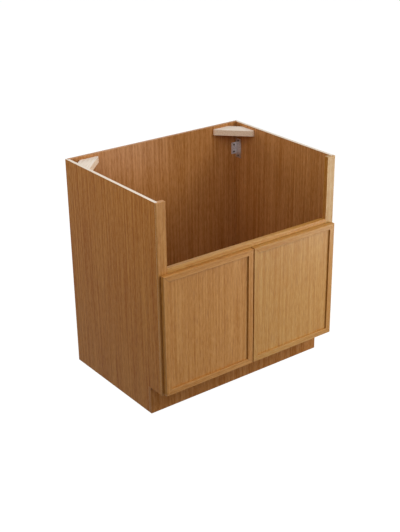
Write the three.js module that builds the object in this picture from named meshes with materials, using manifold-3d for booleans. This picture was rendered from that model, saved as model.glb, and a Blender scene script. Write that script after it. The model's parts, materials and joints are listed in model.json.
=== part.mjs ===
// Farmhouse sink base cabinet in millimetres, +Z up. The doors face -Y, x is centred, and the origin is
// on the floor under the middle of the outline. The apron of the sink drops in over the low front rail.
import * as THREE from "three";
import { mergeVertices } from "three/addons/utils/BufferGeometryUtils.js";
import Module from "manifold-3d";

const wasm = await Module();
wasm.setup();

// Carcass
const cabinetWidth = 838.2;
const cabinetHeight = 876.3;
const boxDepth = 609.6; // face frame's front to the back panel's rear
const sideThickness = 12.7;
const backThickness = 12.7;
const floorThickness = 12.7;
const dadoDepth = 6.35; // how far the floor and the back are let into the sides
const toeKickHeight = 114.3;
const toeKickRecess = 76.2;
const toeBoardThickness = 12.7;
const seatGap = 0.3; // glue line, or the air between two pieces that touch

// Face frame
const stileWidth = 38.1;
const frameThickness = 19.05;
const stileRebateDepth = 9.5; // the side panel's front edge is let into the stile's back
const apronCutDepth = 254; // from the cabinet's top down to the apron rail
const apronRailHeight = 38.1;
const apronRailReveal = 19.05; // rail left showing above the doors
const bottomRailHeight = 38.1;
const tenonLength = 9.5;
const tenonThickness = 6.35;
const tenonShoulder = 3.2;

// Corner blocks at the two rear corners
const blockLeg = 122;
const blockTip = 8;
const blockCornerCut = 43;
const blockThickness = 24;
const blockDrop = 12.7; // the block's top lies this far below the cabinet's top

// Angle brackets below the corner blocks
const bracketSheet = 1.2;
const bracketTall = 86.2;
const bracketTallWidth = 35;
const bracketShort = 50.7;
const bracketShortWidth = 25.6;
const bracketDrop = 70.8; // the cabinet's top to the bracket's
const bracketShortLift = 15.6; // the short leaf starts this far above the tall one
const bracketCornerRadius = 4;
const bracketRibWidth = 12;
const bracketRibHeight = 36;
const bracketRibRise = 1.4;
const tallScrewInset = 10; // from the ends of the tall leaf
const shortScrewInset = 9.8;
const shortScrewReach = 13.5; // from the free edge of the short leaf
const centreHoleRadius = 1.8;

// Wood screws with pan heads
const screwShankRadius = 1.9;
const screwHeadRadius = 3.8;
const screwHeadHeight = 1.9;
const panelScrewLength = 10;
const stileScrewLength = 16;
const screwClearance = 0.4;

// Doors
const doorReveal = 8; // the cabinet's side to the door's edge
const doorMeetingGap = 5;
const doorLift = 4.8; // the face frame's lower edge to the doors'
const doorThickness = 19.05;
const doorGap = 1.6; // door's back to the face frame
const doorFrameWidth = 22.2;
const panelLap = 6.35; // how far the panel runs behind the door's frame
const panelSkin = 3.8; // wood left in front of the hinge bores
const bumperRadius = 4;
const bumperEdge = 9.5; // bumper's centre to the door's free edge

// Hinges. Positions in plan are measured from the stile's inner front corner: first across the
// opening, then into the cabinet. Depths in the cup are measured from the door's back.
const hingeInset = 88.9; // the cup's centre to the door's end
const cupCentre = -9.6;
const cupRadius = 17.5;
const cupDepth = 8.6;
const cupWall = 0.8;
const boreClearance = 0.3;
const flangeHeight = 57;
const flangeWidth = 13;
const flangeSheet = 1;
const flangeCornerRadius = 5.5;
const dowelOffset = 9.5; // the dowels stand off the cup's centre line by this much
const dowelSpacing = 45;
const dowelRadius = 4;
const dowelLength = 7;
const pocketStart = -24.7;
const pocketEnd = 5.7;
const linkHeight = 6;
const linkSheet = 2.5;
const linkBend = 2;
const linkPlay = 0.4; // air on each side of a link, along its pins
const pinRadius = 1.2;
const pinClearance = 0.3;
const eyeWall = 1;
const outerFixedPivot = [4.1, 17.8];
const outerCupPivot = { across: -21.3, depth: 3.7 };
const outerLinkBends = [[-15.8, 6.1], [1.5, 6.1], [2.8, 4.9], [3.4, 1.4], [3.8, -5.6]];
const outerLinkShare = 0.3; // turn of the outer link for each degree that the door opens
const innerFixedPivot = [11.3, 1.6];
const innerCupPin = { across: -16.6, depth: 5.1 };
const innerLinkBends = [[-14.1, 6], [-0.5, 6], [1.5, 4.6], [3.1, -1], [6.9, -3.2]];
const innerLinkShare = 0.32;
const doorOpening = 100; // degrees
const trackSteps = 8;
const trackDepth = 2;
const armSheet = 1.5;
const footSheet = 1.2;
const footHeight = 16;
const footFront = 1.5;
const wrapTab = 9;
const armReach = 14.3;
const armHeadFront = 5;
const armHeadBack = 9.5;
const armWebClearance = 1.1;

// Derived planes
const halfWidth = cabinetWidth / 2;
const overallDepth = boxDepth + doorGap + doorThickness;
const doorBackY = -overallDepth / 2 + doorThickness;
const frameFrontY = doorBackY + doorGap;
const frameBackY = frameFrontY + frameThickness;
const rearY = frameFrontY + boxDepth;
const backInnerY = rearY - backThickness;
const sideInnerX = -halfWidth + sideThickness;
const stileInnerX = -halfWidth + stileWidth;
const floorTop = toeKickHeight + bottomRailHeight;
const floorBottom = floorTop - floorThickness;
const apronRailTop = cabinetHeight - apronCutDepth;
const doorTop = apronRailTop - apronRailReveal;
const doorBottom = toeKickHeight + doorLift;
const doorWidth = halfWidth - doorReveal - doorMeetingGap / 2;
const doorHeight = doorTop - doorBottom;
const doorCentreX = -halfWidth + doorReveal + doorWidth / 2;
const doorCentreZ = (doorTop + doorBottom) / 2;
const panelThickness = cupDepth + boreClearance + panelSkin;
const hingeHeights = { upper: doorTop - hingeInset, lower: doorBottom + hingeInset };
const stackHalf = linkHeight + 2 * linkPlay; // half of the two links' height, with their play

// Finishes
const finish = (color, roughness, metalness = 0) => () =>
  new THREE.MeshStandardMaterial({ color, roughness, metalness });
const stainedOak = finish(0xb07a45, 0.5);
const rawPly = finish(0xdcc4a4, 0.75);
const zincSteel = finish(0xa8a29b, 0.4, 0.9);
const nickelSteel = finish(0xb9b8b4, 0.3, 0.95);
const darkScrew = finish(0x3a3431, 0.45, 0.8);
const clearRubber = finish(0xd8d8d2, 0.6);

// Plain solids
function block(x0, x1, y0, y1, z0, z1) {
  const box = new THREE.BoxGeometry(Math.abs(x1 - x0), Math.abs(y1 - y0), Math.abs(z1 - z0));
  return box.translate((x0 + x1) / 2, (y0 + y1) / 2, (z0 + z1) / 2);
}

function prism(outline, z0, z1) {
  const shape = new THREE.Shape(outline.map(([x, y]) => new THREE.Vector2(x, y)));
  const depth = z1 - z0;
  return new THREE.ExtrudeGeometry(shape, { depth, bevelEnabled: false }).translate(0, 0, z0);
}

function rodZ(x, y, radius, z0, z1, sides = 16) {
  const rod = new THREE.CylinderGeometry(radius, radius, z1 - z0, sides);
  return rod.rotateX(Math.PI / 2).translate(x, y, (z0 + z1) / 2);
}

function rodY(x, z, radius, y0, y1, sides = 16) {
  const rod = new THREE.CylinderGeometry(radius, radius, y1 - y0, sides);
  return rod.translate(x, (y0 + y1) / 2, z);
}

function rodX(y, z, radius, x0, x1, sides = 12) {
  const rod = new THREE.CylinderGeometry(radius, radius, x1 - x0, sides);
  return rod.rotateZ(Math.PI / 2).translate((x0 + x1) / 2, y, z);
}

// A sheet with round corners in the XY plane, from z = 0 up, with round holes given as [x, y, radius].
function roundedSheet(x0, x1, y0, y1, radius, thickness, holes = []) {
  const shape = new THREE.Shape();
  shape.moveTo(x0 + radius, y0);
  shape.absarc(x1 - radius, y0 + radius, radius, -Math.PI / 2, 0, false);
  shape.absarc(x1 - radius, y1 - radius, radius, 0, Math.PI / 2, false);
  shape.absarc(x0 + radius, y1 - radius, radius, Math.PI / 2, Math.PI, false);
  shape.absarc(x0 + radius, y0 + radius, radius, Math.PI, 1.5 * Math.PI, false);
  for (const [x, y, r] of holes) {
    shape.holes.push(new THREE.Path().absarc(x, y, r, 0, 2 * Math.PI, true));
  }
  const options = { depth: thickness, bevelEnabled: false, curveSegments: 4 };
  return new THREE.ExtrudeGeometry(shape, options);
}

// Cuts and joins
function solidOf(geometry) {
  const bare = geometry.clone();
  bare.deleteAttribute("normal");
  bare.deleteAttribute("uv");
  const merged = mergeVertices(bare, 1e-4);
  return new wasm.Manifold(
    new wasm.Mesh({
      numProp: 3,
      vertProperties: merged.attributes.position.array,
      triVerts: new Uint32Array(merged.index.array),
    }),
  );
}

function geometryOf(solid) {
  const mesh = solid.getMesh();
  const geometry = new THREE.BufferGeometry();
  geometry.setAttribute("position", new THREE.BufferAttribute(mesh.vertProperties, 3));
  geometry.setIndex(new THREE.BufferAttribute(mesh.triVerts, 1));
  geometry.computeVertexNormals();
  return geometry;
}

function cut(body, tools) {
  const left = tools.reduce((solid, tool) => solid.subtract(solidOf(tool)), solidOf(body));
  return geometryOf(left);
}

function join(parts) {
  const [first, ...rest] = parts.map(solidOf);
  return geometryOf(rest.reduce((solid, part) => solid.add(part), first));
}

function addPiece(group, name, geometry, finishOf) {
  const mesh = new THREE.Mesh(geometry, finishOf());
  mesh.name = name;
  group.add(mesh);
  return mesh;
}

// A screw on the Z axis: the head's underside is at z = 0 and the shank points down.
function screwGeometry(length) {
  const profile = [
    [0, -length],
    [screwShankRadius * 0.5, -length],
    [screwShankRadius, -length + 2 * screwShankRadius],
    [screwShankRadius, 0],
    [screwHeadRadius, 0],
    [screwHeadRadius, screwHeadHeight * 0.45],
    [screwHeadRadius * 0.6, screwHeadHeight],
    [0, screwHeadHeight],
  ];
  const points = profile.map(([r, z]) => new THREE.Vector2(r, z));
  return new THREE.LatheGeometry(points, 12).rotateX(Math.PI / 2);
}

// Carcass and face frame

const bracketTop = cabinetHeight - bracketDrop;
const bracketBottom = bracketTop - bracketTall;
const bracketShortBottom = bracketBottom + bracketShortLift;
const screwHoleRadius = screwShankRadius + screwClearance;
const tallScrewY = backInnerY - seatGap - bracketTallWidth / 2;
const shortScrewX = sideInnerX + seatGap + bracketShortWidth - shortScrewReach;
const tallScrewHeights = { high: bracketTop - tallScrewInset, low: bracketBottom + tallScrewInset };
const shortScrewHeights = {
  high: bracketShortBottom + bracketShort - shortScrewInset,
  low: bracketShortBottom + shortScrewInset,
};
const panelHoleDepth = panelScrewLength + seatGap;

// Plywood side: toe-kick notch, dado for the floor, rebate for the back and pilot holes.
function sidePanel() {
  const frontY = frameBackY - stileRebateDepth + seatGap;
  const notchY = frameFrontY + toeKickRecess + toeBoardThickness + seatGap;
  const body = block(-halfWidth, sideInnerX, frontY, rearY, 0, cabinetHeight);
  const letIn = sideInnerX - dadoDepth;
  const tools = [
    block(-halfWidth - 1, sideInnerX + 1, frontY - 1, notchY, -1, toeKickHeight + seatGap),
    block(letIn, sideInnerX + 1, frontY - 1, rearY, floorBottom - seatGap, floorTop + seatGap),
    block(letIn, sideInnerX + 1, backInnerY - seatGap, rearY + 1, -1, cabinetHeight + 1),
  ];
  for (const height of Object.values(tallScrewHeights)) {
    tools.push(rodX(tallScrewY, height, screwHoleRadius, sideInnerX - panelHoleDepth, sideInnerX + 1));
  }
  return cut(body, tools);
}

function backPanel() {
  const reach = -sideInnerX + dadoDepth - seatGap;
  const tools = [];
  for (const side of [-1, 1]) {
    for (const height of Object.values(shortScrewHeights)) {
      const x = -side * shortScrewX;
      tools.push(rodY(x, height, screwHoleRadius, backInnerY - 1, backInnerY + panelHoleDepth, 12));
    }
  }
  return cut(block(-reach, reach, backInnerY, rearY, 0, cabinetHeight), tools);
}

function floorPanel() {
  const reach = -sideInnerX + dadoDepth - seatGap;
  return block(-reach, reach, frameBackY + seatGap, backInnerY - seatGap, floorBottom, floorTop);
}

function toeBoard() {
  const frontY = frameFrontY + toeKickRecess;
  return block(-halfWidth, halfWidth, frontY, frontY + toeBoardThickness, 0, toeKickHeight);
}

// A rail of the face frame, with a tenon at each end.
function railGeometry(z0, z1) {
  const shoulder = -stileInnerX - seatGap;
  const tip = -stileInnerX + tenonLength - seatGap;
  const tenonY = (frameFrontY + frameBackY - tenonThickness) / 2;
  const tenon = [tenonY, tenonY + tenonThickness, z0 + tenonShoulder, z1 - tenonShoulder];
  return join([
    block(-shoulder, shoulder, frameFrontY, frameBackY, z0, z1),
    block(-tip, tip, ...tenon),
  ]);
}

// Solid oak stile: rebate for the side panel, two mortises and the pilot holes of the hinges.
function stileGeometry() {
  const body = block(-halfWidth, stileInnerX, frameFrontY, frameBackY, toeKickHeight, cabinetHeight);
  const rebateX = sideInnerX + seatGap;
  const rebateY = frameBackY - stileRebateDepth;
  const tools = [
    block(-halfWidth - 1, rebateX, rebateY, frameBackY + 1, toeKickHeight - 1, cabinetHeight + 1),
  ];
  const mortiseY = (frameFrontY + frameBackY - tenonThickness) / 2 - seatGap;
  const rails = [
    [apronRailTop - apronRailHeight, apronRailTop],
    [toeKickHeight, toeKickHeight + bottomRailHeight],
  ];
  for (const [z0, z1] of rails) {
    const mortiseBack = mortiseY + tenonThickness + 2 * seatGap;
    const mortiseEnd = stileInnerX - tenonLength - seatGap;
    const lowEnd = z0 + tenonShoulder - seatGap;
    const highEnd = z1 - tenonShoulder + seatGap;
    tools.push(block(mortiseEnd, stileInnerX + 1, mortiseY, mortiseBack, lowEnd, highEnd));
  }
  for (const height of Object.values(hingeHeights)) {
    for (const offset of Object.values(footScrewOffsets)) {
      const y = frameFrontY + footScrewIn;
      const z = height + offset;
      tools.push(rodX(y, z, screwHoleRadius, stileInnerX - stileScrewLength - seatGap, stileInnerX + 1));
    }
  }
  return cut(body, tools);
}

// Raw plywood block with blunt tips; its rear corner is sawn off clear of the panels' joint.
function cornerBlock() {
  const cornerX = sideInnerX + seatGap;
  const cornerY = backInnerY - seatGap;
  const top = cabinetHeight - blockDrop;
  const outline = [
    [blockCornerCut, 0],
    [blockLeg, 0],
    [blockLeg, blockTip],
    [blockTip, blockLeg],
    [0, blockLeg],
    [0, blockCornerCut],
  ];
  return prism(outline.map(([x, y]) => [cornerX + x, cornerY - y]), top - blockThickness, top);
}

// Bent steel angle: a tall leaf with a pressed rib on the side panel, a short leaf on the back panel.
function angleBracket() {
  const cornerX = sideInnerX + seatGap;
  const cornerY = backInnerY - seatGap;
  const hole = screwHoleRadius;
  const tallHoles = Object.values(tallScrewHeights).map((z) => [tallScrewY, z, hole]);
  const shortHoles = Object.values(shortScrewHeights).map((z) => [shortScrewX, z, hole]);
  const shortMiddle = bracketShortBottom + bracketShort / 2;
  shortHoles.push([shortScrewX, shortMiddle, centreHoleRadius]);
  const ribMiddle = bracketBottom + bracketTall / 2;
  const shortBottom = bracketShortBottom;
  const radius = bracketCornerRadius;
  const tallFront = cornerY - bracketTallWidth;
  const tall = standOnSide(
    roundedSheet(tallFront, cornerY, bracketBottom, bracketTop, radius, bracketSheet, tallHoles),
    cornerX,
  );
  const rib = standOnSide(
    roundedSheet(
      tallScrewY - bracketRibWidth / 2,
      tallScrewY + bracketRibWidth / 2,
      ribMiddle - bracketRibHeight / 2,
      ribMiddle + bracketRibHeight / 2,
      radius,
      bracketSheet + bracketRibRise,
    ),
    cornerX,
  );
  const short = standOnBack(
    roundedSheet(
      cornerX,
      cornerX + bracketShortWidth,
      shortBottom,
      shortBottom + bracketShort,
      radius,
      bracketSheet,
      shortHoles,
    ),
    cornerY,
  );
  return join([tall, rib, short]);
}

// Turns a sheet drawn in (y, z) to lie on the side panel, its thickness growing into the cabinet.
function standOnSide(sheet, x) {
  const turned = new THREE.Matrix4().set(0, 0, 1, x, 1, 0, 0, 0, 0, 1, 0, 0, 0, 0, 0, 1);
  return sheet.applyMatrix4(turned);
}

// Turns a sheet drawn in (x, z) to lie on the back panel, its thickness growing into the cabinet.
function standOnBack(sheet, y) {
  return sheet.rotateX(Math.PI / 2).translate(0, y, 0);
}

// Doors, drawn about the middle of the door's back: y runs from 0 at the back to the front.

// One side of the door's frame: x runs inwards from the outer edge, z along it, both ends mitred.
function doorFrameSide(length) {
  const lapInner = doorFrameWidth - panelLap;
  const lapFront = panelThickness + seatGap;
  const section = [
    [0, 0],
    [0, -doorThickness],
    [doorFrameWidth, -doorThickness],
    [doorFrameWidth, -lapFront],
    [lapInner, -lapFront],
    [lapInner, 0],
  ];
  const side = prism(section, -length / 2, length / 2);
  const position = side.attributes.position;
  const setBack = seatGap / 2 / Math.cos(Math.PI / 4);
  for (let i = 0; i < position.count; i += 1) {
    const z = position.getZ(i);
    position.setZ(i, Math.sign(z) * (Math.abs(z) - position.getX(i) - setBack));
  }
  return side;
}

const cupLocalX = stileInnerX + cupCentre - doorCentreX;
const hingeLocalZ = [hingeHeights.upper - doorCentreZ, hingeHeights.lower - doorCentreZ];

// The bores in the back of a door for one hinge: the cup's and its two dowels'.
function hingeBores(z) {
  const bores = [rodY(cupLocalX, z, cupRadius + boreClearance, -cupDepth - boreClearance, 1, 32)];
  for (const end of [-1, 1]) {
    const dowelZ = z + (end * dowelSpacing) / 2;
    const radius = dowelRadius + boreClearance;
    bores.push(rodY(cupLocalX + dowelOffset, dowelZ, radius, -dowelLength - boreClearance, 1, 12));
  }
  return bores;
}

function doorPanel() {
  const margin = doorFrameWidth - panelLap + seatGap;
  const halfX = doorWidth / 2 - margin;
  const halfZ = doorHeight / 2 - margin;
  return block(-halfX, halfX, -panelThickness, 0, -halfZ, halfZ);
}

function buildDoor(side) {
  const door = new THREE.Group();
  const bores = hingeLocalZ.flatMap(hingeBores);
  const sides = [
    ["hinge_stile", doorHeight, 0, [-doorWidth / 2, 0, 0]],
    ["free_stile", doorHeight, Math.PI, [doorWidth / 2, 0, 0]],
    ["top_rail", doorWidth, Math.PI / 2, [0, 0, doorHeight / 2]],
    ["bottom_rail", doorWidth, -Math.PI / 2, [0, 0, -doorHeight / 2]],
  ];
  for (const [name, length, turn, place] of sides) {
    let geometry = doorFrameSide(length).rotateY(turn).translate(...place);
    if (name === "hinge_stile") geometry = cut(geometry, bores);
    addPiece(door, `${side}_door_${name}`, geometry, stainedOak);
  }
  addPiece(door, `${side}_door_panel`, cut(doorPanel(), bores), stainedOak);
  const bumperX = doorWidth / 2 - bumperEdge;
  const bumpers = {
    top: (apronRailTop - apronRailHeight + doorTop) / 2 - doorCentreZ,
    bottom: (floorTop + doorBottom) / 2 - doorCentreZ,
  };
  for (const [end, z] of Object.entries(bumpers)) {
    const bumper = rodY(bumperX, z, bumperRadius, seatGap, doorGap - seatGap, 20);
    addPiece(door, `${side}_door_bumper_${end}`, bumper, clearRubber);
  }
  door.position.set(doorCentreX, doorBackY, doorCentreZ);
  return door;
}

// Concealed hinge, drawn from the stile's inner front corner at the hinge's mid-height

const footMiddle = stackHalf + armSheet + footHeight / 2;
const footScrewOffsets = { high: footMiddle, low: -footMiddle };
const footScrewIn = frameThickness / 2;
const inCup = ({ across, depth }) => [across, -doorGap - depth];
const outerMovingPivot = inCup(outerCupPivot);
const innerMovingPin = inCup(innerCupPin);

function turned([x, y], [cx, cy], angle) {
  const c = Math.cos(angle);
  const s = Math.sin(angle);
  return [cx + c * (x - cx) - s * (y - cy), cy + s * (x - cx) + c * (y - cy)];
}

// Where the inner link's pin lies in the cup when the door has opened by this angle.
function pinInCup(opening) {
  const pivot = turned(outerMovingPivot, outerFixedPivot, outerLinkShare * opening);
  const pin = turned(innerMovingPin, innerFixedPivot, innerLinkShare * opening);
  const fromPivot = [pin[0] - pivot[0] + outerMovingPivot[0], pin[1] - pivot[1] + outerMovingPivot[1]];
  return turned(fromPivot, outerMovingPivot, opening);
}

// The outline of a bent strip: straight runs between the points, with an arc of linkBend at each bend.
function stripOutline(points, halfSheet) {
  const centre = [];
  const addPoint = (p, direction) => centre.push({ p, n: [-direction[1], direction[0]] });
  const directionOf = (a, b) => {
    const length = Math.hypot(b[0] - a[0], b[1] - a[1]);
    return [(b[0] - a[0]) / length, (b[1] - a[1]) / length];
  };
  addPoint(points[0], directionOf(points[0], points[1]));
  for (let i = 1; i < points.length - 1; i += 1) {
    const into = directionOf(points[i - 1], points[i]);
    const out = directionOf(points[i], points[i + 1]);
    const bend = Math.atan2(into[0] * out[1] - into[1] * out[0], into[0] * out[0] + into[1] * out[1]);
    const setBack = linkBend * Math.tan(Math.abs(bend) / 2);
    const start = [points[i][0] - into[0] * setBack, points[i][1] - into[1] * setBack];
    const turnCentre = [
      start[0] - Math.sign(bend) * into[1] * linkBend,
      start[1] + Math.sign(bend) * into[0] * linkBend,
    ];
    for (const share of [0, 0.5, 1]) {
      addPoint(turned(start, turnCentre, bend * share), turned(into, [0, 0], bend * share));
    }
  }
  const last = points.length - 1;
  addPoint(points[last], directionOf(points[last - 1], points[last]));
  const offset = (sign) => ({ p, n }) => [p[0] + sign * n[0] * halfSheet, p[1] + sign * n[1] * halfSheet];
  return [...centre.map(offset(-1)), ...centre.map(offset(1)).reverse()];
}

const eyeRadius = pinRadius + pinClearance + eyeWall;
const boreRadius = pinRadius + pinClearance;
const bendPoints = (bends) => bends.map(([across, depth]) => [across, -doorGap - depth]);

// The outer link turns on a pin of the arm and on a pin of the cup.
function outerLink() {
  const ends = [outerMovingPivot, outerFixedPivot];
  const z0 = linkPlay;
  const z1 = linkPlay + linkHeight;
  const centre = [ends[0], ...bendPoints(outerLinkBends), ends[1]];
  const strip = prism(stripOutline(centre, linkSheet / 2), z0, z1);
  const eyes = ends.map(([x, y]) => rodZ(x, y, eyeRadius, z0, z1));
  const bores = ends.map(([x, y]) => rodZ(x, y, boreRadius, z0 - 1, z1 + 1));
  return cut(join([strip, ...eyes]), bores);
}

// The inner link turns on a pin of the arm; its own pin slides in the short track in the cup.
function innerLink() {
  const z0 = -linkPlay - linkHeight;
  const z1 = -linkPlay;
  const centre = [innerMovingPin, ...bendPoints(innerLinkBends), innerFixedPivot];
  const strip = prism(stripOutline(centre, linkSheet / 2), z0, z1);
  const [pinX, pinY] = innerMovingPin;
  const [x, y] = innerFixedPivot;
  const pinEnd = z0 - linkPlay - trackDepth + pinClearance;
  const solid = join([
    strip,
    rodZ(x, y, eyeRadius, z0, z1),
    rodZ(pinX, pinY, pinRadius, pinEnd, z1),
    rodZ(pinX, pinY, linkSheet / 2 + eyeWall / 3, z0, z1),
  ]);
  return cut(solid, [rodZ(x, y, boreRadius, z0 - 1, z1 + 1)]);
}

// Cup with its flange, dowels and riveted pin. The pocket holds the folded links.
function hingeCup() {
  const back = -doorGap;
  const flangeTop = back + seatGap / 2 + flangeSheet;
  const flangeMiddle = cupCentre + dowelOffset;
  const flange = roundedSheet(
    flangeMiddle - flangeWidth / 2,
    flangeMiddle + flangeWidth / 2,
    -flangeHeight / 2,
    flangeHeight / 2,
    flangeCornerRadius,
    flangeSheet,
  );
  const dowels = [-1, 1].map((end) =>
    rodY(flangeMiddle, (end * dowelSpacing) / 2, dowelRadius, back - dowelLength, flangeTop, 12),
  );
  const solid = join([
    rodY(cupCentre, 0, cupRadius, back - cupDepth, flangeTop, 32),
    flange.rotateX(Math.PI / 2).translate(0, flangeTop, 0),
    ...dowels,
  ]);
  const pocketFloor = back - cupDepth + cupWall;
  const mouth = stackHalf + armSheet + linkPlay;
  const far = cupRadius + flangeWidth;
  const track = [];
  for (let i = 0; i <= trackSteps; i += 1) {
    const opening = THREE.MathUtils.degToRad((doorOpening * i) / trackSteps);
    const [x, y] = pinInCup(opening);
    track.push(rodZ(x, y, boreRadius, -stackHalf - trackDepth, 0, 12));
  }
  const hollow = cut(solid, [
    block(pocketStart, pocketEnd, pocketFloor, 1, -stackHalf, stackHalf),
    block(cupCentre - far, cupCentre + far, back, 1, -mouth, mouth),
    ...track,
  ]);
  const [pinX, pinY] = outerMovingPivot;
  return join([hollow, rodZ(pinX, pinY, pinRadius, 2 * linkPlay, stackHalf + 1)]);
}

// Arm: two cheeks with the riveted pins, a web at the back, and two feet that wrap the stile's edge.
function hingeArm() {
  const webFront = outerFixedPivot[1] + eyeRadius + armWebClearance;
  const webBack = webFront + armSheet;
  const footBack = frameThickness + seatGap;
  const footEnd = stackHalf + armSheet + footHeight;
  const head = [
    [seatGap, footFront],
    [seatGap + footSheet, footFront],
    [armHeadBack, 0],
    [armReach, 0],
    [armReach, armHeadFront],
    [armHeadBack, webBack],
    [seatGap, webBack],
  ];
  const headEnd = stackHalf + armSheet;
  const parts = [block(seatGap, armHeadBack, webFront, webBack, -headEnd, headEnd)];
  for (const end of [-1, 1]) {
    const cheek = [end * stackHalf, end * headEnd].sort((a, b) => a - b);
    const foot = [end * stackHalf, end * footEnd].sort((a, b) => a - b);
    parts.push(prism(head, ...cheek));
    parts.push(block(seatGap, seatGap + footSheet, footFront, footBack + footSheet, ...foot));
    parts.push(block(-wrapTab, seatGap + footSheet, footBack, footBack + footSheet, ...foot));
  }
  parts.push(rodZ(...outerFixedPivot, pinRadius, 2 * linkPlay, stackHalf + armSheet / 2));
  parts.push(rodZ(...innerFixedPivot, pinRadius, -stackHalf - armSheet / 2, -2 * linkPlay));
  const holes = Object.values(footScrewOffsets).map((z) =>
    rodX(footScrewIn, z, screwHoleRadius, -1, seatGap + footSheet + 1),
  );
  return cut(join(parts), holes);
}

const cupGeometry = hingeCup();
const outerLinkGeometry = outerLink();
const innerLinkGeometry = innerLink();
const armGeometry = hingeArm();

function buildHinge(prefix, height) {
  const hinge = new THREE.Group();
  addPiece(hinge, `${prefix}_hinge_cup`, cupGeometry, nickelSteel);
  addPiece(hinge, `${prefix}_hinge_outer_link`, outerLinkGeometry, nickelSteel);
  addPiece(hinge, `${prefix}_hinge_inner_link`, innerLinkGeometry, nickelSteel);
  addPiece(hinge, `${prefix}_hinge_arm`, armGeometry, nickelSteel);
  for (const [end, offset] of Object.entries(footScrewOffsets)) {
    const name = `${prefix}_hinge_screw_${end}`;
    const screw = addPiece(hinge, name, screwGeometry(stileScrewLength), nickelSteel);
    screw.rotation.y = Math.PI / 2;
    screw.position.set(2 * seatGap + footSheet, footScrewIn, offset);
  }
  hinge.position.set(stileInnerX, frameFrontY, height);
  return hinge;
}

function addBracketScrews(group, side) {
  const lift = 2 * seatGap + bracketSheet;
  for (const [end, height] of Object.entries(tallScrewHeights)) {
    const name = `${side}_bracket_side_screw_${end}`;
    const screw = addPiece(group, name, screwGeometry(panelScrewLength), darkScrew);
    screw.rotation.y = Math.PI / 2;
    screw.position.set(sideInnerX + lift, tallScrewY, height);
  }
  for (const [end, height] of Object.entries(shortScrewHeights)) {
    const name = `${side}_bracket_back_screw_${end}`;
    const screw = addPiece(group, name, screwGeometry(panelScrewLength), darkScrew);
    screw.rotation.x = Math.PI / 2;
    screw.position.set(shortScrewX, backInnerY - lift, height);
  }
}

// Everything that the cabinet has once on each side, drawn for the left.
function buildHalf(side) {
  const half = new THREE.Group();
  addPiece(half, `${side}_side_panel`, sidePanel(), stainedOak);
  addPiece(half, `${side}_stile`, stileGeometry(), stainedOak);
  addPiece(half, `${side}_corner_block`, cornerBlock(), rawPly);
  addPiece(half, `${side}_angle_bracket`, angleBracket(), zincSteel);
  addBracketScrews(half, side);
  half.add(buildDoor(side));
  for (const [place, height] of Object.entries(hingeHeights)) {
    half.add(buildHinge(`${side}_${place}`, height));
  }
  return half;
}

const cabinet = new THREE.Group();
addPiece(cabinet, "back_panel", backPanel(), stainedOak);
addPiece(cabinet, "floor_panel", floorPanel(), stainedOak);
addPiece(cabinet, "toe_board", toeBoard(), stainedOak);
addPiece(cabinet, "apron_rail", railGeometry(apronRailTop - apronRailHeight, apronRailTop), stainedOak);
addPiece(cabinet, "bottom_rail", railGeometry(toeKickHeight, floorTop), stainedOak);
cabinet.add(buildHalf("left"));
const rightHalf = buildHalf("right");
rightHalf.scale.x = -1;
cabinet.add(rightHalf);

export default cabinet;
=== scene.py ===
import json
import math

import bmesh
import bpy
from mathutils import Matrix, Vector

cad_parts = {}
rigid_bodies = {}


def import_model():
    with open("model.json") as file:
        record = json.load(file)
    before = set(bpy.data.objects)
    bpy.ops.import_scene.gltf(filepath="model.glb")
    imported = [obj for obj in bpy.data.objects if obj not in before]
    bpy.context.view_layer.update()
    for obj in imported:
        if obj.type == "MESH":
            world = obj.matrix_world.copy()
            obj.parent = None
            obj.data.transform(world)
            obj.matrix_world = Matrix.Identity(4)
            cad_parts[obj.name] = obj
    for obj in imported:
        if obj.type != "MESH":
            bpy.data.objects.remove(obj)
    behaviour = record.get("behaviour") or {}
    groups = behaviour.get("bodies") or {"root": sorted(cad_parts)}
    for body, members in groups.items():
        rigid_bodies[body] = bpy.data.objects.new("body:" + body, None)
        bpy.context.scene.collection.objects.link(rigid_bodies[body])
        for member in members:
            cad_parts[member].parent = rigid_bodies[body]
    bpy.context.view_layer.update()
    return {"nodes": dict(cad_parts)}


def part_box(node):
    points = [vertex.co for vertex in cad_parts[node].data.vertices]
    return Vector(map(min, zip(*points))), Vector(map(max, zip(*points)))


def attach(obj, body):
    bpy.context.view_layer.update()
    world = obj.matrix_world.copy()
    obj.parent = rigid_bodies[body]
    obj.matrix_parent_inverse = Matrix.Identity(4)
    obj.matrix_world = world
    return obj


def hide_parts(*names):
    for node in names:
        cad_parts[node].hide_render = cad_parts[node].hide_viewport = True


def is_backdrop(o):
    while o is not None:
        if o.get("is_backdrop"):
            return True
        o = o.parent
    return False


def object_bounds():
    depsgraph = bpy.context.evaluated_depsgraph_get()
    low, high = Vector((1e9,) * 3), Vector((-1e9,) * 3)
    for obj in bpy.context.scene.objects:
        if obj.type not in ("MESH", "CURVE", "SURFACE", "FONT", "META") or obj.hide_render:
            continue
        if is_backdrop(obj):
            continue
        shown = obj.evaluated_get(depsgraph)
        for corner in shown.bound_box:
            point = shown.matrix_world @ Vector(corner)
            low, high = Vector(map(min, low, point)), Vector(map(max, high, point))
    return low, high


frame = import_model()


# Side panels: 12.7 mm plywood with stained oak veneer on both faces, notched for the toe kick and let into
# the stiles. The sawn edges stay raw and pale, and the top edge shows the plies. The arrises are only
# broken with paper.

def linear(hex_colour):
    """An sRGB hex colour as the linear numbers that a shader takes."""
    channels = [int(hex_colour[i:i + 2], 16) / 255 for i in (1, 3, 5)]
    return [c / 12.92 if c <= 0.04045 else ((c + 0.055) / 1.055) ** 2.4 for c in channels] + [1.0]


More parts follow.
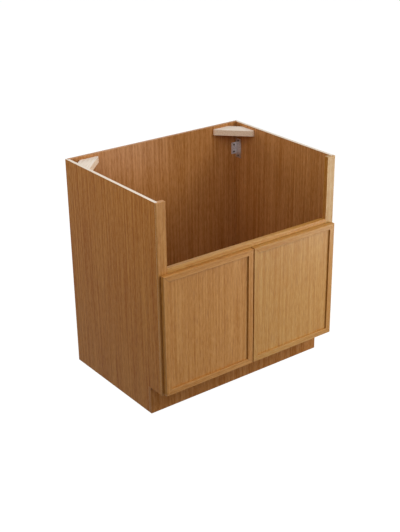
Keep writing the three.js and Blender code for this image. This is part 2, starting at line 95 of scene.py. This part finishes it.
def add_node(tree, kind, inputs=None, **settings):
    """A shader node with its settings; an input is a number, a colour or another node's output."""
    made = tree.nodes.new(kind)
    for name, value in settings.items():
        setattr(made, name, value)
    for name, value in (inputs or {}).items():
        if isinstance(value, bpy.types.NodeSocket):
            tree.links.new(value, made.inputs[name])
        else:
            made.inputs[name].default_value = value
    return made


def new_finish(name):
    """A material without any nodes yet, and its node tree."""
    finish = bpy.data.materials.new(name)
    finish.use_nodes = True
    finish.node_tree.nodes.clear()
    return finish, finish.node_tree


def stained_oak(name, grain, early, late, sheen):
    """Straight-grained oak, stained and lacquered: growth bands, flecks and short dark pores along the
    grain. The arrises are painted paler: partly stain rubbed thin, partly a painted highlight along the
    eased edges."""
    finish, tree = new_finish(name)
    place = add_node(tree, "ShaderNodeTexCoord").outputs["Object"]
    board = add_node(tree, "ShaderNodeAttribute", attribute_name="board").outputs["Fac"]
    shift = add_node(tree, "ShaderNodeVectorMath", {0: (0.37, 0.61, 0.83), "Scale": board},
                     operation="SCALE")
    here = add_node(tree, "ShaderNodeVectorMath", {0: place, 1: shift.outputs[0]},
                    operation="ADD").outputs[0]

    def stretched(across, along):
        """Patterns per metre across and along the grain."""
        scale = [along if axis == grain else across for axis in "XYZ"]
        return add_node(tree, "ShaderNodeMapping", {"Vector": here, "Scale": scale}).outputs[0]

    # Growth bands are 9 mm wide and 0.5 m long
    bands = add_node(tree, "ShaderNodeTexNoise",
                     {"Vector": stretched(115, 2), "Scale": 1, "Detail": 2, "Roughness": 0.5,
                      "Distortion": 0.3})
    # Flecks are 4 mm wide and 25 mm long, coarser than the real 1 mm, to show from a step away
    flecks = add_node(tree, "ShaderNodeTexNoise",
                      {"Vector": stretched(240, 40), "Scale": 1, "Detail": 4, "Roughness": 0.7})
    # Real pores are 0.3 mm wide; these rows of them are 1.6 mm wide and 50 mm long, for the same reason
    vessels = add_node(tree, "ShaderNodeTexNoise",
                       {"Vector": stretched(620, 20), "Scale": 1, "Detail": 1, "Roughness": 0.4})
    tone = add_node(tree, "ShaderNodeMix", {0: 0.5, 2: bands.outputs[0], 3: flecks.outputs[0]})
    tone = add_node(tree, "ShaderNodeMapRange",
                    {"Value": tone.outputs[0], "From Min": 0.39, "From Max": 0.61})
    pore = add_node(tree, "ShaderNodeMapRange",
                    {"Value": vessels.outputs[0], "From Min": 0.56, "From Max": 0.74, "To Max": 0.5})
    wood = add_node(tree, "ShaderNodeMix",
                    {0: tone.outputs[0], 6: linear(early), 7: linear(late)}, data_type="RGBA")
    wood = add_node(tree, "ShaderNodeMix",
                    {0: pore.outputs[0], 6: wood.outputs[2], 7: linear("#84481f")}, data_type="RGBA")
    # The arris faces are mixed towards a pale tan: partly stain rubbed thin, partly a painted highlight
    # along the eased edges.
    eased = add_node(tree, "ShaderNodeAttribute", attribute_name="arris").outputs["Fac"]
    rubbed_and_highlit = add_node(tree, "ShaderNodeMath", {0: eased, 1: 0.45}, operation="MULTIPLY")
    wood = add_node(tree, "ShaderNodeMix",
                    {0: rubbed_and_highlit.outputs[0], 6: wood.outputs[2], 7: linear("#d9a871")}, data_type="RGBA")
    rough = add_node(tree, "ShaderNodeMapRange",
                     {"Value": flecks.outputs[0], "From Min": 0.3, "From Max": 0.7,
                      "To Min": 0.34, "To Max": 0.44})
    relief = add_node(tree, "ShaderNodeBump",
                      {"Height": pore.outputs[0], "Strength": 0.25, "Distance": 0.0004}, invert=True)
    shader = add_node(tree, "ShaderNodeBsdfPrincipled",
                      {"Base Color": wood.outputs[2], "Roughness": rough.outputs[0],
                       "Normal": relief.outputs[0], "Specular IOR Level": sheen})
    add_node(tree, "ShaderNodeOutputMaterial", {"Surface": shader.outputs[0]})
    return finish


def raw_edge(name, across, light="#fbf0e3", dark="#e4d0b6", torn=0.35):
    """The sawn edge of plywood, unfinished and matt: 1.4 mm plies, pale along the grain and darker across
    it, with fibres that the saw has torn."""
    finish, tree = new_finish(name)
    place = add_node(tree, "ShaderNodeTexCoord").outputs["Object"]
    # A light and a dark ply are 2.8 mm together; the texture's bands are tau / 20 apart at a scale of 1
    plies = add_node(tree, "ShaderNodeTexWave", {"Vector": place, "Scale": math.tau / 20 / 0.0028},
                     bands_direction=across)
    ply = add_node(tree, "ShaderNodeMapRange",
                   {"Value": plies.outputs["Fac"], "From Min": 0.35, "From Max": 0.65, "To Max": 0.5})
    # Saw fuzz 3 mm across, coarser than the real 0.5 mm
    saw = add_node(tree, "ShaderNodeTexNoise",
                   {"Vector": place, "Scale": 320, "Detail": 4, "Roughness": 0.7})
    fuzz = add_node(tree, "ShaderNodeMapRange",
                    {"Value": saw.outputs[0], "From Min": 0.4, "From Max": 0.8, "To Max": torn})
    shade = add_node(tree, "ShaderNodeMath", {0: ply.outputs[0], 1: fuzz.outputs[0]}, operation="ADD")
    wood = add_node(tree, "ShaderNodeMix", {0: shade.outputs[0], 6: linear(light), 7: linear(dark)},
                    data_type="RGBA")
    relief = add_node(tree, "ShaderNodeBump",
                      {"Height": saw.outputs[0], "Strength": 0.2, "Distance": 0.0003})
    shader = add_node(tree, "ShaderNodeBsdfPrincipled",
                      {"Base Color": wood.outputs[2], "Roughness": 0.8, "Normal": relief.outputs[0],
                       "Specular IOR Level": 0.2})
    add_node(tree, "ShaderNodeOutputMaterial", {"Surface": shader.outputs[0]})
    return finish


def whole_form(node):
    """A CAD node's form, its loose triangles merged at their corners and joined into whole faces."""
    form = bmesh.new()
    form.from_mesh(frame["nodes"][node].data)
    bmesh.ops.remove_doubles(form, verts=form.verts, dist=2e-6)
    bmesh.ops.dissolve_limit(form, angle_limit=math.radians(0.5), verts=form.verts, edges=form.edges)
    return form


def worked_piece(node, body, finishes, ease, pick=None):
    """A copy of a CAD node with its long arrises eased, standing in for the node. pick gives the number of
    a face's finish from its normal."""
    form = whole_form(node)
    board = form.verts.layers.float.new("board")
    arris = form.faces.layers.float.new("arris")
    arrises = [e for e in form.edges
               if len(e.link_faces) == 2 and e.is_convex and e.calc_length() > 10 * ease
               and e.calc_face_angle() > math.radians(30)]
    rounded = bmesh.ops.bevel(form, geom=arrises, offset=ease, offset_type="OFFSET", segments=2, profile=0.5,
                              affect="EDGES", clamp_overlap=True, material=-1)["faces"]
    # Each board is cut from another part of the sheet or plank, so its number shifts the grain
    for vertex in form.verts:
        vertex[board] = len(bpy.data.objects)
    for face in rounded:
        face[arris] = 1
    if pick:
        for face in form.faces:
            face.material_index = pick(face.normal)
    mesh = bpy.data.meshes.new(f"{node}_worked")
    form.to_mesh(mesh)
    form.free()
    for finish in finishes:
        mesh.materials.append(finish)
    piece = bpy.data.objects.new(mesh.name, mesh)
    bpy.context.scene.collection.objects.link(piece)
    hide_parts(node)
    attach(piece, body)


# Each side's direction along X
SIDES = {"left": -1, "right": 1}
broken_arris = 0.0005
# Oak veneer under a satin lacquer is a warm brown with a soft reflection of the white studio
upright_veneer = stained_oak("stained_oak_veneer_upright", "Z", "#c78d55", "#a66a2c", sheen=0.3)
# The outer faces of the sides have a flat topcoat, which shows less of the studio and a deeper brown
flat_veneer = stained_oak("stained_oak_veneer_flat_topcoat", "Z", "#c78840", "#a55e10", sheen=0.08)
side_ply_edge = raw_edge("raw_plywood_edge_of_side", "X")
for side, sign in SIDES.items():
    worked_piece(f"{side}_side_panel", "carcass",
                 [upright_veneer, side_ply_edge, flat_veneer], broken_arris,
                 lambda normal: 1 if abs(normal.x) < 0.5 else 2 if normal.x * sign > 0 else 0)

# Back panel: the same veneered plywood, set in rebates of the side panels, with its grain upright. Its top
# edge is stained to match its faces, and its other edges stay raw.
rear_ply_edge = raw_edge("raw_plywood_edge_of_back", "Y")
worked_piece("back_panel", "carcass", [upright_veneer, rear_ply_edge], broken_arris,
             lambda normal: 0 if abs(normal.y) > 0.5 or normal.z > 0.5 else 1)

# Cabinet floor: the same veneered plywood, let into grooves of the side panels. Its grain runs across the
# cabinet, and its front edge stops behind the bottom rail.
cross_veneer = stained_oak("stained_oak_veneer_across", "X", "#c78d55", "#a66a2c", sheen=0.3)
worked_piece("floor_panel", "carcass", [cross_veneer], broken_arris)

# Toe board: a strip of veneered plywood across the whole width below the doors, cut so that its grain stands
# upright. It has the flat topcoat of the sides. Its colour is a darker copy of the veneer, which is painted
# shade for its place low under the doors.
# A darker copy of the veneer colour: painted shade for the recess below the doors
painted_shade_toe_veneer = stained_oak("painted_shade_oak_veneer_toe_strip", "Z", "#c0854c", "#9f6020", sheen=0.1)
worked_piece("toe_board", "carcass", [painted_shade_toe_veneer], broken_arris)

# Face frame: solid oak, planed and sanded, with tenoned rails and arrises eased by about a millimetre. The
# left stile has the plain stained colour. The rails have a lighter, yellower copy of it, which is painted
# light for the brighter front lighting. The right stile has a paler copy still, which is a painted
# reflection of the white studio.
frame_arris = 0.0009
upright_oak = stained_oak("stained_solid_oak_upright", "Z", "#c78f4e", "#ab6e25", sheen=0.35)
# A paler copy of the stain for the right stile: a painted reflection of the white studio on its front
painted_reflection_upright_oak = stained_oak("painted_reflection_oak_upright", "Z", "#bc985c", "#a8772e", sheen=0.42)
# A lighter, yellower copy of the stain for the rails and the right door's rails: painted light for the
# brighter front lighting
painted_light_cross_oak = stained_oak("painted_light_oak_across", "X", "#c49551", "#af7427", sheen=0.42)
# Edges and arrises soak up more of the lacquer, so that they stay duller than the faces
dull_upright_oak = stained_oak("stained_solid_oak_edge_upright", "Z", "#c78f4e", "#ab6e25", sheen=0.1)
dull_cross_oak = stained_oak("stained_solid_oak_edge_across", "X", "#c5924f", "#ae7226", sheen=0.1)


def side_or_arris(normal):
    """1 for a member's edges to the left and right and for its arrises, 0 for the rest of it."""
    faces_sideways = abs(normal.x) > 0.3
    faces_squarely = max(abs(part) for part in normal) >= 0.95
    return 1 if faces_sideways or not faces_squarely else 0


worked_piece("left_stile", "carcass", [upright_oak, dull_upright_oak], frame_arris,
             side_or_arris)
worked_piece("right_stile", "carcass", [painted_reflection_upright_oak, dull_upright_oak], frame_arris,
             side_or_arris)
for rail in ("apron_rail", "bottom_rail"):
    worked_piece(rail, "carcass", [painted_light_cross_oak, dull_cross_oak], frame_arris,
                 side_or_arris)


# Corner blocks: raw plywood sawn to a blunt triangle, and stapled into the two rear corners half an inch
# below the top. The face grain runs along the sloping front edge, and the sawn edges show the plies.

def raw_plywood(name, turn):
    """The sanded, unfinished face of plywood: pale and matt, with faint grain lines 3 mm wide and 70 mm
    long, coarser than the real ones."""
    finish, tree = new_finish(name)
    place = add_node(tree, "ShaderNodeTexCoord").outputs["Object"]
    turned = add_node(tree, "ShaderNodeMapping", {"Vector": place, "Rotation": (0, 0, turn)})
    along = add_node(tree, "ShaderNodeMapping", {"Vector": turned.outputs[0], "Scale": (14, 320, 320)})
    grain = add_node(tree, "ShaderNodeTexNoise",
                     {"Vector": along.outputs[0], "Scale": 1, "Detail": 3, "Roughness": 0.6})
    tone = add_node(tree, "ShaderNodeMapRange",
                    {"Value": grain.outputs[0], "From Min": 0.35, "From Max": 0.68})
    wood = add_node(tree, "ShaderNodeMix", {0: tone.outputs[0], 6: linear("#fdf0e2"), 7: linear("#eedac4")},
                    data_type="RGBA")
    relief = add_node(tree, "ShaderNodeBump",
                      {"Height": tone.outputs[0], "Strength": 0.2, "Distance": 0.0003})
    shader = add_node(tree, "ShaderNodeBsdfPrincipled",
                      {"Base Color": wood.outputs[2], "Roughness": 0.75, "Normal": relief.outputs[0],
                       "Specular IOR Level": 0.25})
    add_node(tree, "ShaderNodeOutputMaterial", {"Surface": shader.outputs[0]})
    return finish


block_edge = raw_edge("raw_plywood_edge_of_block", "Z", "#ffead2", "#d0a981", torn=0.8)
for side, sign in SIDES.items():
    block_face = raw_plywood(f"raw_plywood_{side}_block", math.radians(45 * sign))
    worked_piece(f"{side}_corner_block", "carcass", [block_face, block_edge], broken_arris,
                 lambda normal: 0 if abs(normal.z) > 0.5 else 1)


# Angle brackets: zinc-plated steel sheet, punched, pressed with a rib and bent square. Each is screwed to a
# side panel and to the back panel, below a corner block.

def plated_steel(name, bright, dull, roughness, swing):
    """Plated sheet steel: crystals of the plating 4 mm across change its tone and its gloss a little."""
    finish, tree = new_finish(name)
    place = add_node(tree, "ShaderNodeTexCoord").outputs["Object"]
    crystals = add_node(tree, "ShaderNodeTexNoise",
                        {"Vector": place, "Scale": 1 / 0.004, "Detail": 3, "Roughness": 0.6})
    shade = add_node(tree, "ShaderNodeMapRange",
                     {"Value": crystals.outputs[0], "From Min": 0.3, "From Max": 0.7})
    metal = add_node(tree, "ShaderNodeMix", {0: shade.outputs[0], 6: linear(bright), 7: linear(dull)},
                     data_type="RGBA")
    rough = add_node(tree, "ShaderNodeMapRange",
                     {"Value": crystals.outputs[0], "From Min": 0.3, "From Max": 0.7,
                      "To Min": roughness - swing / 2, "To Max": roughness + swing / 2})
    shader = add_node(tree, "ShaderNodeBsdfPrincipled",
                      {"Base Color": metal.outputs[2], "Roughness": rough.outputs[0], "Metallic": 1.0})
    add_node(tree, "ShaderNodeOutputMaterial", {"Surface": shader.outputs[0]})
    return finish


deburred_edge = 0.0003
# Zinc plating is a pale, cool grey with a soft and uneven gloss
zinc = plated_steel("zinc_plated_steel", "#f1edef", "#c0bab9", 0.45, 0.16)
for side in SIDES:
    worked_piece(f"{side}_angle_bracket", "carcass", [zinc], deburred_edge)


# Bracket screws: black phosphated steel screws with pan heads and a cross recess, driven into the plywood
# through the holes of the brackets. Four hold each bracket.

def pan_head_screw(node, body, finish, out):
    """A turned pan head with a pressed cross recess, on a pointed shank; out is the way the head faces."""
    low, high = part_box(node)
    axis = Vector(out)
    along = [abs(c) > 0.5 for c in axis].index(True)
    length = high[along] - low[along]
    head_top = (low + high) / 2 + axis * length / 2
    head_radius = 0.0038
    head_height = 0.0019
    crown_radius = 0.0024
    shank_radius = 0.0019
    # Half a section: the rounded crown, the rim, the underside, the shank and its point
    profile = [(crown_radius, 0), (0.0031, -0.0003), (0.0036, -0.0008), (head_radius, -0.0013),
               (head_radius, -head_height), (shank_radius, -head_height), (shank_radius, -length + 0.004),
               (0.0011, -length + 0.0015), (0, -length)]
    form = bmesh.new()
    line = [form.verts.new((radius, 0, height)) for radius, height in profile]
    edges = [form.edges.new(pair) for pair in zip(line, line[1:])]
    bmesh.ops.spin(form, geom=line + edges, cent=(0, 0, 0), axis=(0, 0, 1), angle=math.tau, steps=24,
                   use_merge=True)
    bmesh.ops.remove_doubles(form, verts=form.verts, dist=1e-6)
    rim = [e for e in form.edges if e.is_boundary]
    # The recess is a cross, whose arms have this half width and this reach, and its bottom is smaller
    wide = 0.00042
    reach = 0.0017
    depth = 0.0013
    taper = 0.6
    corners = [(reach, -wide), (reach, wide), (wide, wide), (wide, reach), (-wide, reach), (-wide, wide),
               (-reach, wide), (-reach, -wide), (-wide, -wide), (-wide, -reach), (wide, -reach),
               (wide, -wide)]
    cross = [form.verts.new((x, y, 0)) for x, y in corners]
    slots = [form.edges.new(pair) for pair in zip(cross, cross[1:] + cross[:1])]
    bmesh.ops.triangle_fill(form, use_beauty=True, use_dissolve=False, edges=rim + slots)
    sunk = bmesh.ops.extrude_edge_only(form, edges=slots)["geom"]
    bottom = [v for v in sunk if isinstance(v, bmesh.types.BMVert)]
    bmesh.ops.scale(form, vec=(taper, taper, 1), verts=bottom)
    bmesh.ops.translate(form, vec=(0, 0, -depth), verts=bottom)
    bmesh.ops.contextual_create(form, geom=[e for e in sunk if isinstance(e, bmesh.types.BMEdge)])
    bmesh.ops.recalc_face_normals(form, faces=form.faces)
    turn = axis.to_track_quat("Z", "Y").to_matrix().to_4x4()
    bmesh.ops.transform(form, matrix=Matrix.Translation(head_top) @ turn, verts=form.verts)
    mesh = bpy.data.meshes.new(f"{node}_cross_head")
    form.to_mesh(mesh)
    form.free()
    mesh.materials.append(finish)
    mesh.shade_smooth()
    mesh.set_sharp_from_angle(angle=math.radians(35))
    screw = bpy.data.objects.new(mesh.name, mesh)
    bpy.context.scene.collection.objects.link(screw)
    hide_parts(node)
    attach(screw, body)


# Phosphated steel is near black and satin; the driver leaves marks 0.6 mm across that change its gloss
black_steel, tree = new_finish("black_phosphated_steel")
place = add_node(tree, "ShaderNodeTexCoord").outputs["Object"]
marks = add_node(tree, "ShaderNodeTexNoise",
                 {"Vector": place, "Scale": 1 / 0.0006, "Detail": 2, "Roughness": 0.6})
rough = add_node(tree, "ShaderNodeMapRange",
                 {"Value": marks.outputs[0], "From Min": 0.3, "From Max": 0.7,
                  "To Min": 0.4, "To Max": 0.57})
metal = add_node(tree, "ShaderNodeMix", {0: marks.outputs[0], 6: linear("#4a4441"), 7: linear("#3e3936")},
                 data_type="RGBA")
shader = add_node(tree, "ShaderNodeBsdfPrincipled",
                  {"Base Color": metal.outputs[2], "Roughness": rough.outputs[0], "Metallic": 1.0})
add_node(tree, "ShaderNodeOutputMaterial", {"Surface": shader.outputs[0]})
for side, sign in SIDES.items():
    for end in ("high", "low"):
        pan_head_screw(f"{side}_bracket_side_screw_{end}", "carcass", black_steel,
                       (-sign, 0, 0))
        pan_head_screw(f"{side}_bracket_back_screw_{end}", "carcass", black_steel,
                       (0, -1, 0))

# Doors: slim solid oak frames with mitred corners round a veneered panel that is flush at the back, each
# hung on two hinges. The panel's grain is upright, and each frame member's grain runs along it. The right
# door has a lighter, yellower copy of the stain, which is painted light for the brighter light that falls on
# the right.
cross_oak = stained_oak("stained_solid_oak_across", "X", "#c78f4e", "#ab6e25", sheen=0.35)
# A lighter, yellower copy of the stain for the right door's stiles and panel: painted light for the brighter
# light on the right
painted_light_upright_oak = stained_oak("painted_light_oak_upright", "Z", "#c49551", "#af7427", sheen=0.42)
door_arris = 0.0008
door_panel_arris = 0.0004
for side in SIDES:
    door = f"{side}_door"
    # The right door takes the lighter, yellower copies of the stain: painted light
    upright = upright_oak if side == "left" else painted_light_upright_oak
    across = cross_oak if side == "left" else painted_light_cross_oak
    for member in ("hinge_stile", "free_stile"):
        worked_piece(f"{door}_{member}", door, [upright, dull_upright_oak], door_arris,
                     side_or_arris)
    for member in ("top_rail", "bottom_rail"):
        worked_piece(f"{door}_{member}", door, [across, dull_cross_oak], door_arris,
                     side_or_arris)
    worked_piece(f"{door}_panel", door, [upright], door_panel_arris)


# Hinges: concealed cup hinges of nickel-plated pressed steel. The cup is sunk in the door's stile, and the
# arm is screwed to the face frame. The fixed pins are riveted over on the outside of the arm's cheeks.

def plated_part(node, body, finish, rivets=()):
    """A copy of a CAD node whose turned faces shade round, standing in for the node. Each rivet head is
    given by the middle of its foot and by the way it points, 1 for up and -1 for down."""
    foot_radius = 0.0021
    top_radius = 0.0016
    rivet_height = 0.0007
    let_in = 0.00001
    form = whole_form(node)
    for foot, way in rivets:
        middle = Vector(foot) + Vector((0, 0, way * (rivet_height / 2 - let_in)))
        seat = Matrix.Translation(middle) @ Matrix.Diagonal((1, 1, way, 1))
        head = bmesh.ops.create_cone(form, cap_ends=True, segments=20, radius1=foot_radius,
                                     radius2=top_radius, depth=rivet_height, matrix=seat)["verts"]
        bmesh.ops.recalc_face_normals(form, faces=list({f for v in head for f in v.link_faces}))
    mesh = bpy.data.meshes.new(f"{node}_plated")
    form.to_mesh(mesh)
    form.free()
    mesh.materials.append(finish)
    mesh.shade_smooth()
    mesh.set_sharp_from_angle(angle=math.radians(32))
    part = bpy.data.objects.new(mesh.name, mesh)
    bpy.context.scene.collection.objects.link(part)
    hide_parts(node)
    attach(part, body)


# Nickel plating is warmer, smoother and evener than zinc
nickel = plated_steel("nickel_plated_steel", "#e2dfd9", "#d6d3cd", 0.33, 0.05)
# From the stile's inner front corner to each fixed pin, inwards and backwards
outer_pin = (0.0041, 0.0178)
inner_pin = (0.0113, 0.0016)
# From the arm's middle height to the outside of each cheek
cheek = 0.0083
for side, sign in SIDES.items():
    stile_low, stile_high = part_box(f"{side}_stile")
    corner_x = stile_low.x if side == "right" else stile_high.x
    for level in ("upper", "lower"):
        hinge = f"{side}_{level}_hinge"
        arm_low, arm_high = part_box(f"{hinge}_arm")
        middle_z = (arm_low.z + arm_high.z) / 2
        rivets = [((corner_x - sign * inwards, stile_low.y + backwards, middle_z + way * cheek), way)
                  for (inwards, backwards), way in ((outer_pin, 1), (inner_pin, -1))]
        plated_part(f"{hinge}_cup", f"{side}_door", nickel)
        plated_part(f"{hinge}_outer_link", f"{side}_outer_links", nickel)
        plated_part(f"{hinge}_inner_link", f"{side}_inner_links", nickel)
        plated_part(f"{hinge}_arm", "carcass", nickel, rivets)
        for end in ("high", "low"):
            pan_head_screw(f"{hinge}_screw_{end}", "carcass", nickel, (-sign, 0, 0))

# Door bumpers: soft polyurethane discs with a domed edge, which stop the door against the face frame. They
# are cast in sheets and stuck to the back of each door at its free side.

# Cast polyurethane is clear and slightly milky, with a smooth skin
clear, tree = new_finish("clear_polyurethane")
shader = add_node(tree, "ShaderNodeBsdfPrincipled",
                  {"Base Color": linear("#eef0ec"), "Roughness": 0.22, "IOR": 1.48,
                   "Transmission Weight": 0.8})
add_node(tree, "ShaderNodeOutputMaterial", {"Surface": shader.outputs[0]})
# The disc's profile from the middle of its dome to the middle of its foot, as shares of radius and thickness
dome = [(0, 1), (0.55, 0.98), (0.85, 0.8), (0.97, 0.5), (1, 0.15), (1, 0), (0, 0)]
for side in SIDES:
    for end in ("top", "bottom"):
        node = f"{side}_door_bumper_{end}"
        low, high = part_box(node)
        middle = (low + high) / 2
        radius = (high.x - low.x) / 2
        thickness = high.y - low.y
        form = bmesh.new()
        line = [form.verts.new((radius * out, 0, thickness * up)) for out, up in dome]
        edges = [form.edges.new(pair) for pair in zip(line, line[1:])]
        bmesh.ops.spin(form, geom=line + edges, cent=(0, 0, 0), axis=(0, 0, 1), angle=math.tau, steps=28,
                       use_merge=True)
        bmesh.ops.remove_doubles(form, verts=form.verts, dist=1e-6)
        bmesh.ops.recalc_face_normals(form, faces=form.faces)
        stuck = Matrix.Translation((middle.x, low.y, middle.z)) @ Matrix.Rotation(-math.pi / 2, 4, "X")
        bmesh.ops.transform(form, matrix=stuck, verts=form.verts)
        mesh = bpy.data.meshes.new(f"{node}_domed")
        form.to_mesh(mesh)
        form.free()
        mesh.materials.append(clear)
        mesh.shade_smooth()
        mesh.set_sharp_from_angle(angle=math.radians(50))
        bumper = bpy.data.objects.new(mesh.name, mesh)
        bpy.context.scene.collection.objects.link(bumper)
        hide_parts(node)
        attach(bumper, f"{side}_door")


# Studio floor: a plain painted floor, 40 m square. The camera and reflections see it white, while to the
# light it is a dull grey, so that it holds the cabinet's shadow and throws little light back.

def seen_directly(tree):
    """1 for camera, glossy and transmission rays, 0 for the light that reaches the cabinet."""
    rays = add_node(tree, "ShaderNodeLightPath").outputs
    seen = add_node(tree, "ShaderNodeMath", {0: rays["Is Camera Ray"], 1: rays["Is Glossy Ray"]},
                    operation="MAXIMUM")
    return add_node(tree, "ShaderNodeMath", {0: seen.outputs[0], 1: rays["Is Transmission Ray"]},
                    operation="MAXIMUM").outputs[0]


floor_width = 40
ground = bmesh.new()
bmesh.ops.create_grid(ground, x_segments=1, y_segments=1, size=floor_width / 2)
floor_mesh = bpy.data.meshes.new("studio_floor")
ground.to_mesh(floor_mesh)
ground.free()
floor = bpy.data.objects.new("studio_floor", floor_mesh)
bpy.context.scene.collection.objects.link(floor)
floor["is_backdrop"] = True
floor_paint, tree = new_finish("pale_floor_paint")
paint = add_node(tree, "ShaderNodeBsdfDiffuse", {"Color": linear("#595959")})
lift = add_node(tree, "ShaderNodeEmission", {"Color": linear("#ffffff"), "Strength": 0.98})
lifted = add_node(tree, "ShaderNodeAddShader", {0: paint.outputs[0], 1: lift.outputs[0]})
mixed = add_node(tree, "ShaderNodeMixShader",
                 {0: seen_directly(tree), 1: paint.outputs[0], 2: lifted.outputs[0]})
add_node(tree, "ShaderNodeOutputMaterial", {"Surface": mixed.outputs[0]})
floor_mesh.materials.append(floor_paint)

# Studio light: an even, dim surround, white where it is seen, and six soft round lamps. The strongest two
# stand high on the front right and behind. Two low ones on the front right fill the fronts, and one each
# hangs over the front and over the left side.
studio = bpy.data.worlds.new("studio")
bpy.context.scene.world = studio
studio.use_nodes = True
tree = studio.node_tree
tree.nodes.clear()
surround = add_node(tree, "ShaderNodeBackground", {"Color": linear("#ffffff"), "Strength": 0.33})
white = add_node(tree, "ShaderNodeBackground", {"Color": linear("#ffffff"), "Strength": 1.0})
mixed = add_node(tree, "ShaderNodeMixShader",
                 {0: seen_directly(tree), 1: surround.outputs[0], 2: white.outputs[0]})
add_node(tree, "ShaderNodeOutputWorld", {"Surface": mixed.outputs[0]})


def soft_lamp(name, place, aim, width, watts):
    """A round lamp of this width, in metres, which lights the cabinet but isn't seen by the camera."""
    lamp = bpy.data.lights.new(name, "AREA")
    lamp.shape = "DISK"
    lamp.size = width
    lamp.energy = watts
    holder = bpy.data.objects.new(name, lamp)
    towards_aim = (Vector(aim) - Vector(place)).to_track_quat("-Z", "Y").to_matrix().to_4x4()
    holder.matrix_world = Matrix.Translation(place) @ towards_aim
    holder.visible_camera = False
    bpy.context.scene.collection.objects.link(holder)


soft_lamp("front_right_high", (2.2, -2.0, 2.6), (0, 0, 0.5), 1.4, 37)
soft_lamp("front_right_low", (1.4, -1.32, 0.28), (0.4, -0.3, 0.75), 0.5, 3)
soft_lamp("front_right_low_wide", (1.5, -2.1, 0.42), (0, 0, 0.7), 0.7, 15)
soft_lamp("front_over", (0.3, -1.9, 2.0), (0, 0, 0.6), 1.3, 10.5)
soft_lamp("left_over", (-1.6, -0.2, 1.9), (0, 0, 0.7), 1.3, 11)
soft_lamp("behind", (-0.9, 2.9, 1.7), (0, 0, 0.4), 1.4, 34)

# Camera: where the photograph was taken from, on the front left, 2.1 m up and about 4.2 m from the cabinet's
# middle. It looks down on the open top, and its shift sets the cabinet's place in the picture.
camera_data = bpy.data.cameras.new("camera")
camera_data.lens = 70.31
camera_data.shift_x = -0.05748
camera_data.shift_y = 0.0159
camera = bpy.data.objects.new("camera", camera_data)
camera.location = (-2.2753, -3.0435, 2.1415)
degrees_down = 24.828
degrees_right = 38.405
camera.rotation_euler = (math.radians(90 - degrees_down), 0, math.radians(-degrees_right))
bpy.context.scene.collection.objects.link(camera)
bpy.context.scene.camera = camera
bpy.context.scene.view_settings.view_transform = "Standard"

low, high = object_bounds()
